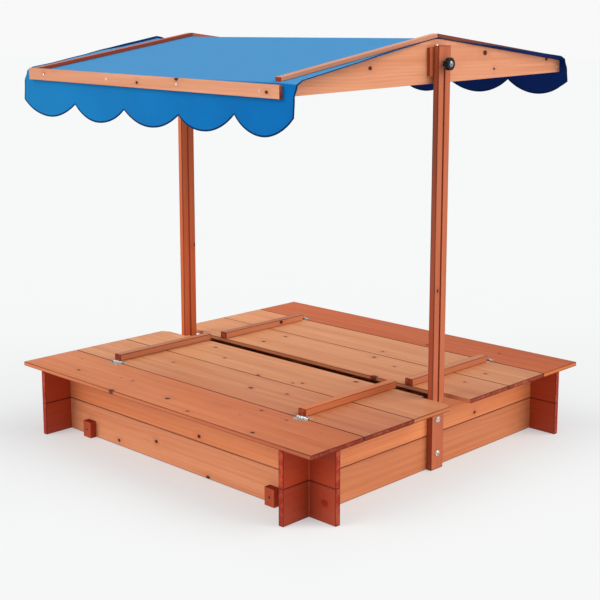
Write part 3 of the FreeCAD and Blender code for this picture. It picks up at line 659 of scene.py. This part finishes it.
def edge_move(column, y, beyond=0.0):
    """Move of the overhanging edges: how they stand up, and how they round off at the sheet's corners.

    beyond is how far down the valance a point is.
    """
    over = overhang_share(column)
    if not over:
        return Vector()
    side, end = (-1 if over < 0 else 1), (-1 if y < 0 else 1)
    width = side_limit(side, y) - BATTEN_OUT
    rise = min(STEEPEST, between(EDGE_UP[side, end], abs(y)) / max(width, 1.0))
    fade = smooth(1.0 - beyond / FADE_DOWN)
    turn = math.asin(rise) * fade * abs(over) ** 0.5
    reach = width * abs(over)
    from_corner = beyond if beyond else EAVE_Y - abs(y)
    near = (1.0 - smooth(from_corner / CORNER_REACH)) * over * over
    return Vector((side * reach * (math.cos(turn) - 1.0), -end * CORNER_BACK * near,
                   reach * math.sin(turn) - CORNER_DOWN * near))


def hem_height(end, column):
    """Height of the hem's scallops, arcs between cusps that are not all at one height."""
    scallop, part = divmod(column, PER_SCALLOP)
    if scallop >= SCALLOPS:
        scallop, part = SCALLOPS - 1, PER_SCALLOP
    first, last = CORNERS[end][scallop], CORNERS[end][scallop + 1]
    t = (valance_x(end, column) - first) / (last - first)
    lifts = CUSP_LIFT[end]
    chord = HEM_Z[end] + SCALLOP_DEPTH + lifts[scallop] * (1 - t) + lifts[scallop + 1] * t
    half = (last - first) / 2
    depth = SCALLOP_DEPTH - BOTTOM_LIFT[end][scallop] + (lifts[scallop] + lifts[scallop + 1]) / 2
    radius = (half * half + depth * depth) / (2 * depth)
    return chord - (math.sqrt(max(0.0, radius ** 2 - (half * (2 * t - 1)) ** 2)) - (radius - depth))


def valance_x(end, column):
    """Place across the sheet of a column on a valance."""
    over = overhang_share(column)
    if over:
        side = -1 if over < 0 else 1
        return side * BATTEN_OUT + over * (abs(CORNERS[end][0 if side < 0 else -1]) - BATTEN_OUT)
    return inner_x(end, column)


def under_battens(x, y):
    """Rise of the cloth at the ridge, where the battens' mitred ends hold it up off the rounded gables."""
    sharp = APEX_Z + OVER_WOOD / math.cos(SLOPE) - abs(y) * math.tan(SLOPE)
    held = smooth((abs(x) - LIFT_FROM) / LIFT_BLEND) * smooth((LIFT_TO - abs(y)) / LIFT_FALL)
    return (sharp - top_height(y)) * held


def slack(x, y):
    """The cloth sags a little between the rails, with soft creases, and with small ones along the eaves."""
    inside = max(0.0, 1.0 - (x / SAG_HALF) ** 2)
    across = math.sin(math.pi * min(1.0, max(0.0, (abs(y) - SAG_FROM) / SAG_LENGTH)))
    sag = -SAG * inside ** 0.6 * across
    creases = CREASES * math.sin(x / 47.0 + y / 90.0) * math.sin(y / 130.0 + 0.6) * inside * across
    near_eave = smooth((abs(y) - PULLS_FROM) / 150.0) * smooth((PULLS_TO - abs(y)) / 60.0)
    pulls = PULLS * math.sin(x / 23.0) * near_eave * inside
    return sag + creases + pulls


def ripple(x, end):
    """Gentle waves of a valance's hem, seen from above."""
    return math.sin(x / 62.0 + 0.7 * end) + 0.6 * math.sin(x / 27.0 + 1.9) + 0.5 * math.sin(x / 103.0 - 0.8)


def placed(x, y, z):
    """From the roof's own frame in millimetres to the row frame in metres."""
    point = Vector((x, y + SET_BACK, z - AXIS_Z))
    point.rotate(Matrix.Rotation(math.radians(TILT), 3, "X"))
    return Vector((point.x, point.y, point.z + AXIS_Z)) * MM


def valance_row(end, down):
    """Points across a valance, down being 0 at the eave and 1 at the hem."""
    wall_y = EAVE_Y + OVER_WOOD
    top = top_height(wall_y - FOLD) - FOLD * 0.9
    line = []
    for column in range(COLUMNS):
        x = valance_x(end, column)
        z = top + (hem_height(end, column) - top) * down
        free = max(0.0, KNEE_Z - z) / (KNEE_Z - HEM_Z[end])
        wave = min(WAVE_MOST, max(-WAVE_MOST, WAVE * ripple(x, end) * min(1.0, free) ** 1.5))
        extra = EAVE_EXTRA.get((1, end), 0.0) * max(0.0, overhang_share(column))
        move = edge_move(column, end * EAVE_Y, top - z + 0.01)
        line.append(placed(x + extra + move.x, end * (wall_y + FLARE * free + wave) + move.y, z + move.z))
    return line


def canopy_rows():
    """Rows of points from the front hem over the ridge to the back hem, closer together towards the eaves."""
    reach = EAVE_Y + OVER_WOOD - FOLD
    tops = []
    for row in range(2 * SLOPE_ROWS + 1):
        share = row / SLOPE_ROWS - 1.0
        y = reach * (1.3 * share - 0.3 * share ** 3)
        line = []
        for column in range(COLUMNS):
            x = sheet_x(column, y)
            z = top_height(y) + slack(x, y) + under_battens(x, y)
            move = edge_move(column, y)
            line.append(placed(x + move.x, y + move.y, z + move.z))
        tops.append(line)
    downs = [row / VALANCE_ROWS for row in range(VALANCE_ROWS + 1)]
    front, back = ([valance_row(end, down) for down in downs] for end in (-1, 1))
    return front[::-1] + tops + back


def cloth_mesh(name, points, faces, uv_of):
    mesh = bpy.data.meshes.new(name)
    mesh.from_pydata(points, [], faces)
    mesh.polygons.foreach_set("use_smooth", [True] * len(mesh.polygons))
    uv = mesh.uv_layers.new(name="cloth")
    for loop in mesh.loops:
        uv.data[loop.index].uv = uv_of(loop.vertex_index)
    return mesh


def sheet_mesh(name, rows):
    """The sheet, with its lengths across and along as UV, in metres."""
    width = len(rows[0])
    points = [point for row in rows for point in row]
    faces = [(r * width + c, r * width + c + 1, (r + 1) * width + c + 1, (r + 1) * width + c)
             for r in range(len(rows) - 1) for c in range(width - 1)]
    lengths = [0.0]
    middle = width // 2
    for lower, upper in zip(rows, rows[1:]):
        lengths.append(lengths[-1] + (upper[middle] - lower[middle]).length)
    return cloth_mesh(name, points, faces, lambda i: (points[i].x, lengths[i // width]))


def linked(name, mesh):
    piece = bpy.data.objects.new(name, mesh)
    bpy.context.scene.collection.objects.link(piece)
    return piece


CLOTH_THICKNESS, THREAD_PITCH = 1.2 * MM, 1.6 * MM
# Painted light on the cloth's outside: its tone where it faces up, and its tone towards the left
CLOTH_SKY_LIGHT_TONE, CLOTH_LEFT_LIGHT_TONE = srgb(74, 146, 199), srgb(40, 147, 200)
SKY_LIGHT_SPAN = (0.35, 0.85)    # upward part of the normal where the painted light from the sky starts, and where it is full
LEFT_LIGHT_SPAN = (-0.75, 0.6, 0.42, 0.0)   # from and to, across the sheet in metres, and the shares of painted light there
BETWEEN_THREADS = (0.0, 0.01, 0.03, 1.0)


def cloth_material(name, light, dark, painted_light=False):
    """Plain-woven polyester: fine crossing threads and faint cloudiness.

    With painted_light, it has painted light: lighter most where it faces up, and a little towards the left.
    """
    material, tree, shader = new_material(name)
    coordinates = add(tree, "ShaderNodeTexCoord").outputs
    u, v, _ = split(tree, coordinates["UV"])
    warp, weft = (calc(tree, "SINE", calc(tree, "MULTIPLY", at, 2 * math.pi / THREAD_PITCH)) for at in (u, v))
    weave = calc(tree, "MULTIPLY", warp, weft)
    slubs = noise(tree, scaled(tree, join(tree, u, v, 0.0), (60.0, 900.0, 1.0)), detail=2.0)
    cloudy = noise(tree, coordinates["Object"], scale=5.0, detail=3.0)
    tone = calc(tree, "ADD", calc(tree, "MULTIPLY", cloudy, 0.7), calc(tree, "MULTIPLY", slubs, 0.3))
    colour = blend_colour(tree, step(tree, tone, 0.38, 0.62), light, dark)
    # Painted light by position across the sheet and by the upward normal
    if painted_light:
        colour = blend_colour(tree, step(tree, u, *LEFT_LIGHT_SPAN), colour, CLOTH_LEFT_LIGHT_TONE)
        upward = split(tree, coordinates["Normal"])[2]
        colour = blend_colour(tree, step(tree, upward, *SKY_LIGHT_SPAN), colour, CLOTH_SKY_LIGHT_TONE)
    colour = blend_colour(tree, calc(tree, "MULTIPLY_ADD", weave, 0.06, 0.06), colour, BETWEEN_THREADS)
    tree.links.new(colour, shader.inputs["Base Color"])
    tree.links.new(calc(tree, "MULTIPLY_ADD", slubs, 0.12, 0.7), shader.inputs["Roughness"])
    shader.inputs["Specular IOR Level"].default_value = 0.08
    bump(tree, shader, calc(tree, "ADD", weave, calc(tree, "MULTIPLY", slubs, 0.8)), 0.0002, 0.5)
    return material


# The tape round the edge, wider near the ridge. Its dark navy is partly its own colour and partly painted
# shade, and its extra width near the ridge is painted shade beneath the slope battens.
BINDING_W, RIDGE_SHADE_TAPE_W, BINDING_OUT = 3.6 * MM, 10.0 * MM, 1.1 * MM
WIDE_TO, WIDE_BLEND = 230.0, 100.0   # millimetres from the ridge
BATTEN_ROOM = 1.5          # millimetres that the tape keeps off a slope batten
LEAST_BINDING_W = 0.4 * MM
INSIDE_STEPS = 3           # rows or columns in from the edge that the tape's direction is taken from


def binding_mesh(name, rows):
    """Tape folded over the sheet's edge all the way round. It narrows where the sheet is pinched."""
    width, height = len(rows[0]), len(rows)
    ring = [(0, c) for c in range(width)] + [(r, width - 1) for r in range(1, height)]
    ring += [(height - 1, c) for c in range(width - 2, -1, -1)] + [(r, 0) for r in range(height - 2, 0, -1)]
    points = []
    for index, (r, c) in enumerate(ring):
        here = rows[r][c]
        before, after = (rows[a][b] for a, b in (ring[index - 1], ring[(index + 1) % len(ring)]))
        along = (after - before).normalized()
        inner_r = min(max(r, INSIDE_STEPS), height - 1 - INSIDE_STEPS)
        inner_c = min(max(c, INSIDE_STEPS), width - 1 - INSIDE_STEPS)
        inwards = rows[inner_r][inner_c] - here
        inwards = (inwards - along * inwards.dot(along)).normalized()
        outwards = along.cross(inwards).normalized()
        room = BINDING_W
        # Near the ridge the side tape is wider: painted shade beneath the slope battens
        if 0 < r < height - 1 and c in (0, width - 1):
            past = smooth((abs(here.y) / MM - WIDE_TO) / WIDE_BLEND)
            wide = RIDGE_SHADE_TAPE_W + (BINDING_W - RIDGE_SHADE_TAPE_W) * past
            room = min(wide, max(LEAST_BINDING_W, abs(here.x) - (BATTEN_OUT + BATTEN_ROOM) * MM))
        proud = BINDING_OUT * min(1.0, room / BINDING_W + 0.6)
        section = ((room, 0.8), (room * 0.2, 1.0), (proud * -0.5, 0.0), (room * 0.2, -1.0), (room, -0.8))
        points += [here + inwards * depth + outwards * (proud * share) for depth, share in section]
    count, sides = len(ring), len(section)
    faces = []
    for index in range(count):
        here, following = index * sides, (index + 1) % count * sides
        faces += [(here + k, following + k, following + (k + 1) % sides, here + (k + 1) % sides)
                  for k in range(sides)]
    return cloth_mesh(name, points, faces, lambda i: (points[i].x, points[i].z))


def make_canopy():
    rows = canopy_rows()
    cloth = linked("canopy_sheet", sheet_mesh("canopy_sheet", rows))
    outside = cloth_material("cloth_outside_and_painted_light", srgb(0, 112, 184), srgb(0, 103, 174), painted_light=True)
    cloth.data.materials.append(outside)
    # The inside is the same cloth, painted dark navy for the shade under the roof: painted shade
    cloth.data.materials.append(cloth_material("cloth_inside_painted_shade", srgb(6, 44, 116), srgb(4, 38, 104)))
    thick = cloth.modifiers.new("thickness", "SOLIDIFY")
    thick.thickness = CLOTH_THICKNESS
    thick.offset = 0.0
    thick.material_offset = 1
    thick.material_offset_rim = 0
    tape = linked("canopy_binding", binding_mesh("canopy_binding", rows))
    tape.data.materials.append(cloth_material("cloth_tape_and_painted_shade", srgb(6, 44, 92), srgb(4, 36, 80)))
    for piece in (cloth, tape):
        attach(piece, "roof")
    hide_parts("canopy")


make_canopy()


# ---------------------------------------------------------------- floor and light
FLOOR_HALF, DOME_RADIUS = 50.0, 60.0
FLOOR_DROP = 0.0005        # metres under the object's feet
STUDIO_WHITE = 0.945
WHITE = (1.0, 1.0, 1.0, 1.0)
# Share of the floor's brightness that shadows can't take away, by distance from the middle in metres: none
# inside the box, some along its walls, most further out
GLOWS = ((0.465, 0.49, 0.42), (0.5, 0.9, 0.32))
FLOOR_ALBEDO, FLOOR_RED = 0.8, 0.95   # a little less red, to take off the boards' warm light
AMBIENT = (0.47, 0.5, 0.54)
# (name, strength, way the light travels, angle in degrees)
SUNS = [("front_key", 1.8, (0.40, 0.78, -0.50), 45.0), ("side_key", 2.1, (-0.67, -0.47, -0.57), 50.0)]
SUN_COLOUR = (1.045, 1.0, 0.94)


def staged(name, mesh, material):
    piece = linked(name, mesh)
    mesh.materials.append(material)
    return piece


def make_floor():
    mesh = bpy.data.meshes.new("floor")
    corners = [(x * FLOOR_HALF, y * FLOOR_HALF, 0) for x, y in ((-1, -1), (1, -1), (1, 1), (-1, 1))]
    mesh.from_pydata(corners, [], [(0, 1, 2, 3)])
    material, tree, shader = new_material("floor")
    x, y, _ = split(tree, vector(tree, "ABSOLUTE", add(tree, "ShaderNodeTexCoord").outputs["Object"]))
    far = calc(tree, "MAXIMUM", x, y)
    glow = calc(tree, "ADD", *(step(tree, far, start, stop, 0.0, share) for start, stop, share in GLOWS))
    grey = calc(tree, "MULTIPLY_ADD", glow, -FLOOR_ALBEDO, FLOOR_ALBEDO)
    red = calc(tree, "MULTIPLY", grey, FLOOR_RED)
    tree.links.new(join(tree, red, grey, grey), shader.inputs["Base Color"])
    shader.inputs["Emission Color"].default_value = WHITE
    tree.links.new(calc(tree, "MULTIPLY", glow, STUDIO_WHITE), shader.inputs["Emission Strength"])
    shader.inputs["Roughness"].default_value = 1.0
    shader.inputs["Specular IOR Level"].default_value = 0.0
    staged("floor", mesh, material).location.z = -FLOOR_DROP


def make_backdrop():
    """A white shell round it all that only the camera sees."""
    mesh = bpy.data.meshes.new("backdrop")
    shell = bmesh.new()
    bmesh.ops.create_uvsphere(shell, u_segments=48, v_segments=24, radius=DOME_RADIUS)
    shell.to_mesh(mesh)
    shell.free()
    material, tree, _ = new_material("backdrop")
    glow = add(tree, "ShaderNodeEmission", {"Color": WHITE, "Strength": STUDIO_WHITE})
    tree.links.new(glow.outputs[0], tree.nodes["Material Output"].inputs["Surface"])
    dome = staged("backdrop", mesh, material)
    for kind in ("diffuse", "glossy", "transmission", "volume_scatter", "shadow"):
        setattr(dome, "visible_" + kind, False)


def make_lights():
    world = bpy.data.worlds.new("studio")
    bpy.context.scene.world = world
    world.use_nodes = True
    background = world.node_tree.nodes["Background"]
    background.inputs["Color"].default_value = AMBIENT + (1.0,)
    background.inputs["Strength"].default_value = 1.0

    for name, strength, way, angle in SUNS:
        sun = bpy.data.lights.new(name, "SUN")
        sun.energy = strength
        sun.color = SUN_COLOUR
        sun.angle = math.radians(angle)
        lamp = bpy.data.objects.new(name, sun)
        bpy.context.scene.collection.objects.link(lamp)
        lamp.rotation_euler = Vector(way).to_track_quat("-Z", "Y").to_euler()


make_floor()
make_backdrop()
make_lights()
bpy.context.scene.view_settings.view_transform = "Standard"
